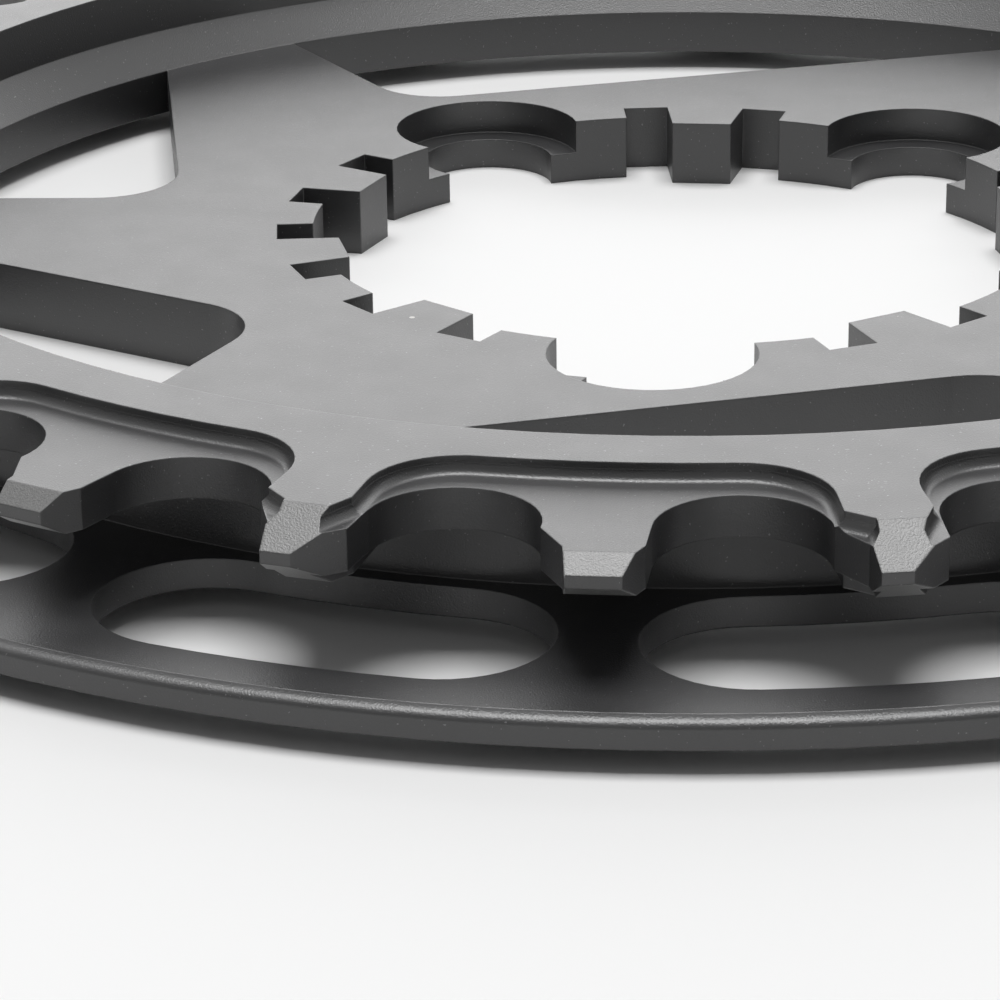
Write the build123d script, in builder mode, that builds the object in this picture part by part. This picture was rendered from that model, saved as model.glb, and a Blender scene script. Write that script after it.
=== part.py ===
"""Narrow-wide bicycle chainring with a dished spider and a slotted guard ring, milled from one piece."""
import os
from math import cos, pi, radians, sin, tan

from build123d import *

# Chain and tooth sizes
chain_pitch = 12.7
teeth = 28
roller_radius = 3.95
root_clearance = 0.2
tip_height = 3.5
bevel_start = 1.2
bevel_depth = 1.5
flank_lean = 9.0
flank_height = 1.5
wide_tip_lean = 52.0
narrow_tip_lean = 31.0
step_width = 1.35
step_rise = 1.9
shoulder_lean = 14.0

# Heights, measured up from the face the ring rests on
spider_thickness = 3.8
dish = 5.1
plate_thickness = 3.6
narrow_thickness = 2.0
guard_gap = 1.1
guard_thickness = 1.5

# Radial sizes of the body
pocket_margin = 1.9
pocket_overlap = 0.5
ring_width = 5.25
wall_slope = 2.0
guard_overhang = 3.8
rim_break = 0.5

# Milled pockets beside the wide teeth
pocket_lead = 1.9
pocket_sweep = 2.0
pocket_trail = 2.0
pocket_step = 1.2
pocket_step_rise = 1.0
pocket_corner = 4.2
pocket_break = 0.45

# Slots in the guard, one below each pair of teeth
slot_edge = 2.9
slot_ledge = 0.9
slot_web = 3.6

# Three windows on each half of the spider, parted by arms. Each window has a straight side that
# leaves the wall at its start, a rounded knee, and a short side back to the wall at the next arm.
# Starts and arms are turns along the wall, and a knee's turn is taken from its window's end
halves = 2
long_start = -34.3
front_start = -85.6
side_start = -133.5
front_arm_turn = 6.7
side_arm_turn = 9.6
long_arm_turn = 12.5
long_knee_turn = 1.0
front_knee_turn = -11.5
side_knee_turn = -3.3
long_knee_radius = 29.8
front_knee_radius = 27.1
side_knee_radius = 29.2
window_round = 4.5

# Bore on ten equal places: a bolt scallop on three of them, a lug between two notches on the rest
places = 10
scallop_places = (0, 4, 6)
bore_radius = 20.8
lug_rise = 1.5
lug_width = 4.0
notch_depth = 2.0
notch_width = 2.7
scallop_radius = 5.5
scallop_offset = 1.3
bolt_radius = 3.9
seat_depth = 2.0

# Turns of the tooth pattern and of the bore from the front of the ring
tooth_turn = -3.65
bore_turn = -3.7

# Run-out of the cutters past the faces they leave
clear = 1.0

# Derived sizes
total_height = spider_thickness + dish
pitch_radius = chain_pitch / (2 * sin(pi / teeth))
root_radius = pitch_radius - roller_radius - root_clearance
seat_center = root_radius + roller_radius
tip_radius = pitch_radius + tip_height
bevel_radius = pitch_radius + bevel_start
pocket_radius = root_radius - pocket_margin
wall_radius = pocket_radius - pocket_overlap
ring_radius = root_radius - ring_width
inner_radius = ring_radius - wall_slope
guard_radius = tip_radius + guard_overhang
guard_top = guard_gap + guard_thickness
plate_bottom = total_height - plate_thickness
pocket_depth = (plate_thickness - narrow_thickness) / 2
tip_land_top = total_height - bevel_depth
tip_land_bottom = plate_bottom + bevel_depth
slots = teeth // 2
slot_inner = wall_radius + slot_ledge
slot_outer = guard_radius - slot_edge
slot_radius = (slot_inner + slot_outer) / 2
slot_width = slot_outer - slot_inner
scallop_center = bore_radius + scallop_offset
tooth_angle = 360 / teeth
place_angle = 360 / places
long_end = side_start + 360 / halves - long_arm_turn
front_end = long_start - front_arm_turn
side_end = front_start - side_arm_turn
long_knee = long_end + long_knee_turn
front_knee = front_end + front_knee_turn
side_knee = side_end + side_knee_turn


def at(radius: float, turn: float) -> tuple[float, float]:
    """Point at a radius, turned in degrees from the front of the ring."""
    return (radius * sin(radians(turn)), -radius * cos(radians(turn)))


def turn_of(width: float, radius: float) -> float:
    """Angle in degrees that a width takes up at a radius."""
    return width / radius * 180 / pi


def reach(point: Vector) -> float:
    """Distance of a point from the ring's axis."""
    return (point.X**2 + point.Y**2) ** 0.5


def window_outline(start: float, knee: float, knee_radius: float, end: float) -> Sketch:
    """Opening between two arms, bounded outside by the wall, with its knee rounded."""
    with BuildSketch() as outline:
        with BuildLine():
            Polyline(at(inner_radius, start), at(knee_radius, knee), at(inner_radius, end))
            middle = at(inner_radius, (start + end) / 2)
            ThreePointArc(at(inner_radius, end), middle, at(inner_radius, start))
        make_face()
        fillet(outline.vertices().sort_by(reach)[0], radius=window_round)
    return outline.sketch


def gullet_outline(tip_lean: float) -> Sketch:
    """Gap between two teeth at the front: a leaning flank with its tip cut back, and a stepped flank."""
    flank_x = -roller_radius * cos(radians(flank_lean))
    flank_y = seat_center - roller_radius * sin(radians(flank_lean))
    knee_y = pitch_radius + flank_height
    knee_x = flank_x - (knee_y - flank_y) * tan(radians(flank_lean))
    outer_y = tip_radius + clear
    outer_x = knee_x - (outer_y - knee_y) * tan(radians(tip_lean))
    shoulder_x = roller_radius + step_width
    shoulder_y = seat_center + step_rise
    shoulder_out = shoulder_x + (outer_y - shoulder_y) * tan(radians(shoulder_lean))
    with BuildSketch() as outline:
        with BuildLine():
            Polyline((outer_x, -outer_y), (knee_x, -knee_y), (flank_x, -flank_y))
            ThreePointArc((flank_x, -flank_y), (0, -root_radius), (roller_radius, -seat_center))
            Polyline(
                (roller_radius, -seat_center),
                (shoulder_x, -shoulder_y),
                (shoulder_out, -outer_y),
                (outer_x, -outer_y),
            )
        make_face()
    return outline.sketch


# One pocket outline, from a wide tooth round the narrow tooth to the next wide tooth
lead_turn = -tooth_angle + turn_of(pocket_lead, pitch_radius)
trail_turn = tooth_angle - turn_of(pocket_trail, pitch_radius)
step_turn = trail_turn + turn_of(pocket_step, pitch_radius)
sweep_turn = lead_turn - turn_of(pocket_sweep, pitch_radius)
pocket_outer = tip_radius + clear
with BuildSketch() as pocket_outline:
    with BuildLine():
        Polyline(at(pocket_outer, sweep_turn), at(pitch_radius, lead_turn), at(pocket_radius, lead_turn))
        ThreePointArc(at(pocket_radius, lead_turn), at(pocket_radius, 0), at(pocket_radius, trail_turn))
        Polyline(
            at(pocket_radius, trail_turn),
            at(pitch_radius, trail_turn),
            at(pitch_radius + pocket_step_rise, step_turn),
            at(pocket_outer, step_turn),
        )
        ThreePointArc(at(pocket_outer, step_turn), at(pocket_outer, 0), at(pocket_outer, sweep_turn))
    make_face()

# Pocket cutter for the top face, with rounded inner corners and a broken floor edge
with BuildPart() as pocket:
    with BuildSketch(Plane.XY.offset(total_height - pocket_depth)) as pocket_floor:
        add(pocket_outline.sketch)
        fillet(pocket_floor.vertices().sort_by(reach)[:2], radius=pocket_corner)
    extrude(amount=pocket_depth + clear)
    floor_edges = pocket.faces().sort_by(Axis.Z)[0].edges()
    inner_edges = floor_edges.filter_by(lambda edge: reach(edge @ 0.5) < tip_radius)
    chamfer(inner_edges, length=pocket_break)

# Plainer outline for the underside, with its inner corners cut across
with BuildSketch() as pocket_back:
    add(pocket_outline.sketch)
    chamfer(pocket_back.vertices().sort_by(reach)[:2], length=pocket_corner / 2)

# Bore outline: each lug stands inwards, with a notch on each side of it
lug_turns = [bore_turn + place * place_angle for place in range(places) if place not in scallop_places]
notch_turn = turn_of((lug_width + notch_width) / 2, bore_radius)
with BuildSketch() as bore:
    Circle(bore_radius)
    with Locations(*[Rot(0, 0, turn) for turn in lug_turns]):
        with Locations((0, -bore_radius)):
            Rectangle(lug_width, 2 * lug_rise, mode=Mode.SUBTRACT)
    for side in (-notch_turn, notch_turn):
        with Locations(*[Rot(0, 0, turn + side) for turn in lug_turns]):
            with Locations((0, -bore_radius)):
                Rectangle(notch_width, 2 * notch_depth)

# One slot of the guard, drawn at the front
slot_half_turn = 180 / slots - turn_of((slot_web + slot_width) / 2, slot_radius)
with BuildLine() as slot_path:
    CenterArc((0, 0), slot_radius, -90 - slot_half_turn, 2 * slot_half_turn)
with BuildSketch() as slot:
    SlotArc(slot_path.edges()[0], height=slot_width)

with BuildPart() as chainring:
    # Half-section turned about the axis: spider, sloped foot of the wall, toothed disc and guard
    with BuildSketch(Plane.XZ) as section:
        with BuildLine():
            Polyline(
                (0, 0),
                (0, spider_thickness),
                (inner_radius, spider_thickness),
                (ring_radius, spider_thickness + wall_slope),
                (ring_radius, total_height),
                (bevel_radius, total_height),
                (tip_radius, tip_land_top),
                (tip_radius, tip_land_bottom),
                (bevel_radius, plate_bottom),
                (wall_radius, plate_bottom),
                (wall_radius, guard_top),
                (guard_radius, guard_top),
                (guard_radius, guard_gap),
                (inner_radius, guard_gap),
                (inner_radius, 0),
                (0, 0),
            )
        make_face()
        rim_corner = section.vertices().sort_by(Axis.X)[-2:].sort_by(Axis.Y)[-1]
        chamfer(rim_corner, length=rim_break)
    revolve(axis=Axis.Z)

    # Windows between the arms
    with BuildSketch(Plane.XY.offset(-clear)):
        with PolarLocations(0, halves):
            add(window_outline(long_start, long_knee, long_knee_radius, long_end))
            add(window_outline(front_start, front_knee, front_knee_radius, front_end))
            add(window_outline(side_start, side_knee, side_knee_radius, side_end))
    extrude(amount=spider_thickness + 2 * clear, mode=Mode.SUBTRACT)

    # Bore with its lugs and notches
    with BuildSketch(Plane.XY.offset(-clear)):
        add(bore.sketch)
    extrude(amount=spider_thickness + 2 * clear, mode=Mode.SUBTRACT)

    # Stepped scallops for the bolt heads
    scallop_spots = [at(scallop_center, bore_turn + place * place_angle) for place in scallop_places]
    with BuildSketch(Plane.XY.offset(-clear)):
        with Locations(*scallop_spots):
            Circle(bolt_radius)
    extrude(amount=spider_thickness + 2 * clear, mode=Mode.SUBTRACT)
    with BuildSketch(Plane.XY.offset(spider_thickness - seat_depth)):
        with Locations(*scallop_spots):
            Circle(scallop_radius)
    extrude(amount=seat_depth + clear, mode=Mode.SUBTRACT)

    # Slots through the guard, with a web below each narrow tooth
    with BuildSketch(Plane.XY.offset(guard_gap - clear)):
        with PolarLocations(0, slots, start_angle=tooth_turn + tooth_angle):
            add(slot.sketch)
    extrude(amount=guard_thickness + 2 * clear, mode=Mode.SUBTRACT)

    # Gullets through the toothed disc only, by turns behind a narrow and behind a wide tooth
    with BuildSketch(Plane.XY.offset(plate_bottom - clear)):
        with PolarLocations(0, teeth // 2, start_angle=tooth_turn + tooth_angle / 2):
            add(gullet_outline(narrow_tip_lean))
        with PolarLocations(0, teeth // 2, start_angle=tooth_turn - tooth_angle / 2):
            add(gullet_outline(wide_tip_lean))
    extrude(amount=plate_thickness + 2 * clear, mode=Mode.SUBTRACT)

    # Pockets that thin every second tooth, on the top face
    with PolarLocations(0, teeth // 2, start_angle=tooth_turn):
        add(pocket.part, mode=Mode.SUBTRACT)

    # Matching pockets on the underside of the disc
    with BuildSketch(Plane.XY.offset(plate_bottom - clear)):
        with PolarLocations(0, teeth // 2, start_angle=tooth_turn):
            add(pocket_back.sketch)
    extrude(amount=pocket_depth + clear, mode=Mode.SUBTRACT)

chainring.part.label = "chainring"

os.makedirs("parts", exist_ok=True)
export_step(chainring.part, "parts/chainring.step")
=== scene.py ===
"""Studio scene of a black anodised bicycle chainring lying on a pale table."""
import logging
import math
from dataclasses import dataclass
from enum import Enum

import bpy
import numpy as np
from mathutils import Matrix, Vector


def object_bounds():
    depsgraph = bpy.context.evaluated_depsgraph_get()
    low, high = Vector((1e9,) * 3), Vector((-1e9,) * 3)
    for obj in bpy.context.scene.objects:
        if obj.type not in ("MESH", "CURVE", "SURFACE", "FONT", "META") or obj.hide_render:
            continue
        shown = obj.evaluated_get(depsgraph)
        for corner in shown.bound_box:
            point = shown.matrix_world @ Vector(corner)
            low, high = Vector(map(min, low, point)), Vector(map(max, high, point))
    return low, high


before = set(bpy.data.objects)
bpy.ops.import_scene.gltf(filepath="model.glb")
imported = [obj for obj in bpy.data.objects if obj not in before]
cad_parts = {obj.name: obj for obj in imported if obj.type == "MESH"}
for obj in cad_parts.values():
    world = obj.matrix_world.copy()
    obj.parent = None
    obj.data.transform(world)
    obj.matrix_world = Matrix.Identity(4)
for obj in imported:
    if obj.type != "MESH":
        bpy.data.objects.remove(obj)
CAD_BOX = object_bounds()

LOG = logging.getLogger("chainring_scene")
MM = 0.001
FRAME_PIXELS = 1000
SENSOR_MM = 36.0
NOISE_MEAN = 0.5
LEVEL = (1.0, 1.0, 0.0)


class Place(Enum):
    """Where a soft light stands around the object."""

    BACK = "back"
    TOP = "top"


class Sock:
    """A node's output socket on which Python's operators add Math nodes."""

    def __init__(self, graph: "Graph", socket: bpy.types.NodeSocket) -> None:
        """Keeps the graph and the socket."""
        self.graph = graph
        self.socket = socket

    def _math(self, operation: str, first: "Value", second: "Value") -> "Sock":
        """Adds one Math node.

        Args:
            operation: the Math node's operation.
            first: its first value or link.
            second: its second value or link.

        Returns:
            The node's result.
        """
        return self.graph.node("ShaderNodeMath", {"operation": operation}, {0: first, 1: second})

    def __add__(self, other: "Value") -> "Sock":
        """Sum."""
        return self._math("ADD", self, other)

    def __radd__(self, other: "Value") -> "Sock":
        """Sum with a number on the left."""
        return self._math("ADD", other, self)

    def __sub__(self, other: "Value") -> "Sock":
        """Difference."""
        return self._math("SUBTRACT", self, other)

    def __rsub__(self, other: "Value") -> "Sock":
        """Difference from a number on the left."""
        return self._math("SUBTRACT", other, self)

    def __mul__(self, other: "Value") -> "Sock":
        """Product."""
        return self._math("MULTIPLY", self, other)

    def __rmul__(self, other: "Value") -> "Sock":
        """Product with a number on the left."""
        return self._math("MULTIPLY", other, self)

    def __truediv__(self, other: "Value") -> "Sock":
        """Quotient."""
        return self._math("DIVIDE", self, other)

    def __pow__(self, other: "Value") -> "Sock":
        """Power."""
        return self._math("POWER", self, other)

    def __gt__(self, other: "Value") -> "Sock":
        """1 where this is greater, else 0."""
        return self._math("GREATER_THAN", self, other)

    def __lt__(self, other: "Value") -> "Sock":
        """1 where this is less, else 0."""
        return self._math("LESS_THAN", self, other)

    def clamped(self) -> "Sock":
        """The value held between 0 and 1."""
        return self.graph.node("ShaderNodeClamp", {}, {"Value": self})


Value = Sock | float | tuple


class Graph:
    """A node tree that is filled by one method."""

    def __init__(self, tree: bpy.types.NodeTree) -> None:
        """Clears the tree and keeps it."""
        self.tree = tree
        tree.nodes.clear()

    def add(self, kind: str, settings: dict, inputs: dict) -> bpy.types.Node:
        """Adds a node.

        Args:
            kind: the node's type.
            settings: its properties, set before its sockets.
            inputs: values or links by socket name or number.

        Returns:
            The node.
        """
        node = self.tree.nodes.new(kind)
        for name, value in settings.items():
            setattr(node, name, value)
        for key, value in inputs.items():
            if isinstance(value, Sock):
                self.tree.links.new(value.socket, node.inputs[key])
            else:
                node.inputs[key].default_value = value
        return node

    def node(self, kind: str, settings: dict, inputs: dict, output: str | int = 0) -> Sock:
        """Adds a node as add() does and returns one of its outputs.

        Args:
            kind: the node's type.
            settings: its properties.
            inputs: values or links by socket name or number.
            output: the output's name or number.

        Returns:
            The wrapped output.
        """
        return Sock(self, self.add(kind, settings, inputs).outputs[output])

    def mix(self, factor: "Value", low: "Value", high: "Value") -> Sock:
        """Blends two colours.

        Args:
            factor: 0 gives low and 1 gives high.
            low: the first colour.
            high: the second colour.

        Returns:
            The blended colour.
        """
        return self.node("ShaderNodeMix", {"data_type": "RGBA"}, {"Factor": factor, 6: low, 7: high}, 2)

    def vector(self, operation: str, inputs: dict, output: str = "Vector") -> Sock:
        """Adds a Vector Math node.

        Args:
            operation: the node's operation.
            inputs: values or links by socket name or number.
            output: "Vector", or "Value" where the result is a number.

        Returns:
            The node's result.
        """
        return self.node("ShaderNodeVectorMath", {"operation": operation}, inputs, output)


@dataclass(frozen=True)
class AnodisedFinish:
    """Bead-blasted aluminium with a black anodised skin, paler on machined tooth tips where the pale tone is
    partly a painted highlight, with painted highlights along upward-facing edges and painted glints as sparse
    pale dots.

    The ring's top height and rim radius come from the frame, in metres. A slope is the height of
    the surface's normal, 1 on a flat face and 0 on an upright wall.
    """

    top_m: float
    rim_m: float
    color: tuple[float, float, float] = (0.010, 0.010, 0.011)
    pale: tuple[float, float, float] = (0.026, 0.026, 0.027)
    tip_tone_and_highlight: tuple[float, float, float] = (0.11, 0.11, 0.108)
    edge_highlight_color: tuple[float, float, float] = (0.20, 0.20, 0.20)
    glint_paint_color: tuple[float, float, float] = (0.14, 0.14, 0.145)
    dust_color: tuple[float, float, float] = (0.42, 0.41, 0.39)
    roughness: float = 0.39
    roughness_span: float = 0.10
    sheen_ior: float = 1.82
    grain_mm: float = 0.09
    grain_detail: float = 2.0
    grain_depth_mm: float = 0.016
    grain_share: float = 0.6
    mottle_mm: float = 3.0
    mottle_detail: float = 3.0
    mottle_share: float = 0.4
    glint_paint_mm: float = 0.13
    glint_paint_level: float = 0.82
    edge_mm: float = 0.12
    edge_highlight_gain: float = 1.6
    edge_samples: int = 6
    tip_radius_mm: float = 57.7
    tip_limit_mm: float = 62.0
    tip_slope: tuple[float, float] = (0.78, 0.93)
    tip_least: float = 0.1
    tip_grain: float = 1.4
    round_slope: tuple[float, float] = (0.62, 0.78)
    pocket_depth_mm: float = 0.8
    pocket_round_mm: float = 0.45
    rim_round_mm: float = 0.5
    dust_cell_mm: float = 7.0
    dust_mm: float = 0.16

    def material(self) -> bpy.types.Material:
        """Makes the material.

        Returns:
            The finished material.
        """
        made = bpy.data.materials.new("black_anodised")
        made.use_nodes = True
        graph = Graph(made.node_tree)
        spot = graph.node("ShaderNodeTexCoord", {}, {}, "Object")
        facing = graph.node("ShaderNodeNewGeometry", {}, {}, "Normal")
        edge = graph.node("ShaderNodeBevel", {"samples": self.edge_samples}, {"Radius": self.edge_mm * MM})
        up = graph.node("ShaderNodeSeparateXYZ", {}, {0: facing}, "Z")
        radius = graph.vector("LENGTH", {0: graph.vector("MULTIPLY", {0: spot, 1: LEVEL})}, "Value")
        grain = self._noise(graph, spot, self.grain_mm, self.grain_detail)
        mottle = self._noise(graph, spot, self.mottle_mm, self.mottle_detail)
        # painted glints: sparse pale dots in the base colour stand in for glints off the blasted grain
        painted_glint = self._noise(graph, spot, self.glint_paint_mm, 0.0) > self.glint_paint_level
        # tooth-tip tone: partly the paler machined metal, partly a painted highlight in place of the overhead
        # reflection on the tip bevels
        tips = self._tip_mask(graph, radius, up) * (grain * self.tip_grain + self.tip_least)
        # painted highlight: lighter base colour along edges, only where they face up
        bend = 1.0 - graph.vector("DOT_PRODUCT", {0: edge, 1: facing}, "Value")
        edge_highlight_paint = (bend * self.edge_highlight_gain).clamped() * grain * up.clamped()
        skin = grain * self.grain_share + mottle * self.mottle_share
        tint = graph.mix(skin, (*self.color, 1.0), (*self.pale, 1.0))
        tint = graph.mix(painted_glint, tint, (*self.glint_paint_color, 1.0))
        tint = graph.mix(tips, tint, (*self.tip_tone_and_highlight, 1.0))
        tint = graph.mix(edge_highlight_paint, tint, (*self.edge_highlight_color, 1.0))
        tint = graph.mix(self._dust_mask(graph, spot, up), tint, (*self.dust_color, 1.0))
        bump = graph.node(
            "ShaderNodeBump",
            {},
            {
                "Height": grain,
                "Distance": self.grain_depth_mm * MM,
                "Strength": 1.0,
                "Normal": self._rounded(graph, spot, radius, facing, edge),
            },
        )
        spread = (mottle - NOISE_MEAN) + (grain - NOISE_MEAN)
        rough = self.roughness + spread * self.roughness_span
        surface = graph.node(
            "ShaderNodeBsdfPrincipled",
            {},
            {"Base Color": tint, "Roughness": rough, "Normal": bump, "IOR": self.sheen_ior},
        )
        graph.add("ShaderNodeOutputMaterial", {}, {"Surface": surface})
        return made

    @staticmethod
    def _noise(graph: Graph, spot: Sock, size_mm: float, detail: float) -> Sock:
        """Adds a noise pattern.

        Args:
            graph: the material's graph.
            spot: the point on the object.
            size_mm: the size of the noise's cells.
            detail: the number of finer layers.

        Returns:
            The noise, between 0 and 1.
        """
        inputs = {"Vector": spot, "Scale": 1 / (size_mm * MM), "Detail": detail}
        return graph.node("ShaderNodeTexNoise", {}, inputs)

    def _rounded(self, graph: Graph, spot: Sock, radius: Sock, facing: Sock, edge: Sock) -> Sock:
        """Turns the normal across the pocket corners and the guard's rim as a true round would.

        In a pocket corner the normal's upward share falls evenly from 1 at the floor to 0 at the wall.
        On the rim its outward share grows evenly with the radius. The other share makes up the length.

        Args:
            graph: the material's graph.
            spot: the point on the object.
            radius: the distance from the ring's axis.
            facing: the surface's normal.
            edge: the normal that holds elsewhere.

        Returns:
            The normal for shading.
        """
        up = graph.node("ShaderNodeSeparateXYZ", {}, {0: facing}, "Z")
        height = graph.node("ShaderNodeSeparateXYZ", {}, {0: spot}, "Z")
        outward = graph.vector("NORMALIZE", {0: graph.vector("MULTIPLY", {0: facing, 1: LEVEL})})
        sloped = (up > self.round_slope[0]) * (up < self.round_slope[1])
        floor = self.top_m - self.pocket_depth_mm * MM
        in_pocket = sloped * (height > floor)
        pocket_up = (1.0 - (height - floor) / (self.pocket_round_mm * MM)).clamped()
        rim_start = self.rim_m - self.rim_round_mm * MM
        on_rim = sloped * (radius > rim_start)
        rim_out = ((radius - rim_start) / (self.rim_round_mm * MM)).clamped()
        rim_up = (1.0 - rim_out * rim_out) ** 0.5
        rise = in_pocket * pocket_up + on_rim * rim_up
        across = graph.vector("SCALE", {0: outward, "Scale": (1.0 - rise * rise) ** 0.5})
        lifted = graph.node("ShaderNodeCombineXYZ", {}, {2: rise})
        turned = graph.vector("ADD", {0: across, 1: lifted})
        rounds = {"Factor": in_pocket + on_rim, 4: edge, 5: turned}
        return graph.node("ShaderNodeMix", {"data_type": "VECTOR"}, rounds, 1)

    def _tip_mask(self, graph: Graph, radius: Sock, up: Sock) -> Sock:
        """Finds the sloped faces at the tooth tips.

        Args:
            graph: the material's graph.
            radius: the distance from the ring's axis.
            up: the height of the surface's normal.

        Returns:
            1 on the tips and 0 elsewhere.
        """
        steep = graph.node("ShaderNodeMath", {"operation": "ABSOLUTE"}, {0: up})
        sloped = (steep > self.tip_slope[0]) * (steep < self.tip_slope[1])
        return sloped * (radius > self.tip_radius_mm * MM) * (radius < self.tip_limit_mm * MM)

    def _dust_mask(self, graph: Graph, spot: Sock, up: Sock) -> Sock:
        """Scatters a few dust specks over the faces that look up.

        Args:
            graph: the material's graph.
            spot: the point on the object.
            up: the height of the surface's normal.

        Returns:
            1 on a speck and 0 elsewhere.
        """
        inputs = {"Vector": spot, "Scale": 1 / (self.dust_cell_mm * MM)}
        near = graph.node("ShaderNodeTexVoronoi", {"feature": "F1"}, inputs, "Distance")
        return (near < self.dust_mm / self.dust_cell_mm) * (up > self.tip_slope[1])


@dataclass(frozen=True)
class TableFinish:
    """Matt white table top."""

    color: tuple[float, float, float] = (0.88, 0.88, 0.88)
    roughness: float = 0.75

    def material(self) -> bpy.types.Material:
        """Makes the material.

        Returns:
            The finished material.
        """
        made = bpy.data.materials.new("table_white")
        made.use_nodes = True
        graph = Graph(made.node_tree)
        surface = graph.node(
            "ShaderNodeBsdfPrincipled", {}, {"Base Color": (*self.color, 1.0), "Roughness": self.roughness}
        )
        graph.add("ShaderNodeOutputMaterial", {}, {"Surface": surface})
        return made


@dataclass
class Chainring:
    """The machined ring with its finish."""

    node: str = "chainring"

    def dress(self, finish: AnodisedFinish) -> bpy.types.Object:
        """Gives the ring its finish.

        Args:
            finish: the ring's finish.

        Returns:
            The ring's object.
        """
        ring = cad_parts[self.node]
        ring.data.materials.clear()
        ring.data.materials.append(finish.material())
        return ring


@dataclass
class Table:
    """The pale table that the ring lies on."""

    half_m: float = 6.0

    def build(self, finish: TableFinish) -> bpy.types.Object:
        """Makes the table top as a flat grid at the height that the ring rests on.

        Args:
            finish: the table's finish.

        Returns:
            The table's object.
        """
        side = np.array([-self.half_m, self.half_m])
        x, y = np.meshgrid(side, side)
        points = np.stack([x.ravel(), y.ravel(), np.zeros(x.size)], axis=1)
        mesh = bpy.data.meshes.new("table")
        mesh.from_pydata(points.tolist(), [], [(0, 1, 3, 2)])
        mesh.materials.append(finish.material())
        table = bpy.data.objects.new("table", mesh)
        bpy.context.scene.collection.objects.link(table)
        return table


@dataclass
class Softbox:
    """One soft studio light."""

    place: Place
    position_m: tuple[float, float, float]
    size_m: tuple[float, float]
    watts: float

    def build(self) -> bpy.types.Object:
        """Makes the light, aimed at the ring.

        Returns:
            The light's object.
        """
        lamp = bpy.data.lights.new("softbox_" + self.place.value, "AREA")
        lamp.shape = "RECTANGLE"
        lamp.size, lamp.size_y = self.size_m
        lamp.energy = self.watts
        light = bpy.data.objects.new(lamp.name, lamp)
        light.location = self.position_m
        light.rotation_euler = (-Vector(self.position_m)).to_track_quat("-Z", "Y").to_euler()
        bpy.context.scene.collection.objects.link(light)
        return light


@dataclass
class Studio:
    """White surroundings, with less light for matt surfaces and a dim front for glossy ones.

    What a glossy surface sees rises from the front level to the shown level, and the middle is
    straight overhead.
    """

    shown: float = 1.0
    light: float = 0.18
    front: float = 0.3
    turn: float = 1.5
    middle: float = 0.5

    def build(self) -> bpy.types.World:
        """Makes the world.

        Returns:
            The world.
        """
        world = bpy.data.worlds.new("studio")
        world.use_nodes = True
        graph = Graph(world.node_tree)
        seen = graph.add("ShaderNodeLightPath", {}, {})
        camera = Sock(graph, seen.outputs["Is Camera Ray"])
        glossy = Sock(graph, seen.outputs["Is Glossy Ray"])
        through = Sock(graph, seen.outputs["Is Transmission Ray"])
        direction = graph.node("ShaderNodeTexCoord", {}, {}, "Generated")
        behind = graph.node("ShaderNodeSeparateXYZ", {}, {0: direction}, "Y")
        sheen = self.front + (behind * self.turn + self.middle).clamped() * (self.shown - self.front)
        white = graph.node("ShaderNodeMath", {"operation": "MAXIMUM"}, {0: camera, 1: through})
        white = graph.node("ShaderNodeMath", {"operation": "MAXIMUM"}, {0: white, 1: glossy * sheen})
        level = white * (self.shown - self.light) + self.light
        surface = graph.node("ShaderNodeBackground", {}, {"Color": (1.0, 1.0, 1.0, 1.0), "Strength": level})
        graph.add("ShaderNodeOutputWorld", {}, {"Surface": surface})
        bpy.context.scene.world = world
        return world


@dataclass
class PhotoCamera:
    """Camera at the photograph's place, angle and focal length."""

    position_mm: tuple[float, float, float] = (0.0, -217.6, 74.05)
    yaw: float = -0.04795
    pitch: float = 0.38105
    roll: float = 0.0139
    focal_pixels: float = 4033.1

    def build(self) -> bpy.types.Object:
        """Makes the camera.

        Returns:
            The camera's object.
        """
        yaw, pitch, roll = self.yaw, self.pitch, self.roll
        forward = Vector((math.sin(yaw) * math.cos(pitch), math.cos(yaw) * math.cos(pitch), -math.sin(pitch)))
        right = Vector((math.cos(yaw), -math.sin(yaw), 0.0))
        down = forward.cross(right)
        across = right * math.cos(roll) + down * math.sin(roll)
        below = down * math.cos(roll) - right * math.sin(roll)
        data = bpy.data.cameras.new("photo_camera")
        data.sensor_width = SENSOR_MM
        data.lens = self.focal_pixels / FRAME_PIXELS * SENSOR_MM
        data.clip_start = 0.01
        camera = bpy.data.objects.new("photo_camera", data)
        turn = Matrix((across, -below, -forward)).transposed().to_4x4()
        camera.matrix_world = Matrix.Translation(Vector(self.position_mm) * MM) @ turn
        bpy.context.scene.collection.objects.link(camera)
        bpy.context.scene.camera = camera
        return camera


def main() -> None:
    """Builds the scene in order and reports each piece."""
    logging.basicConfig(level=logging.INFO, format="%(name)s: %(message)s")
    bpy.context.scene.view_settings.view_transform = "Standard"
    ring = Chainring().dress(AnodisedFinish(top_m=CAD_BOX[1][2], rim_m=CAD_BOX[1][0]))
    LOG.info("dressed %s", ring.name)
    table = Table().build(TableFinish())
    LOG.info("laid %s", table.name)
    softboxes = (
        Softbox(Place.BACK, (0.0, 1.9, 0.72), (3.6, 1.2), 23.0),
        Softbox(Place.TOP, (0.0, 0.19, 1.8), (1.2, 0.9), 27.8),
    )
    for softbox in softboxes:
        LOG.info("placed %s", softbox.build().name)
    Studio().build()
    LOG.info("placed %s", PhotoCamera().build().name)


if __name__ == "__main__":
    main()
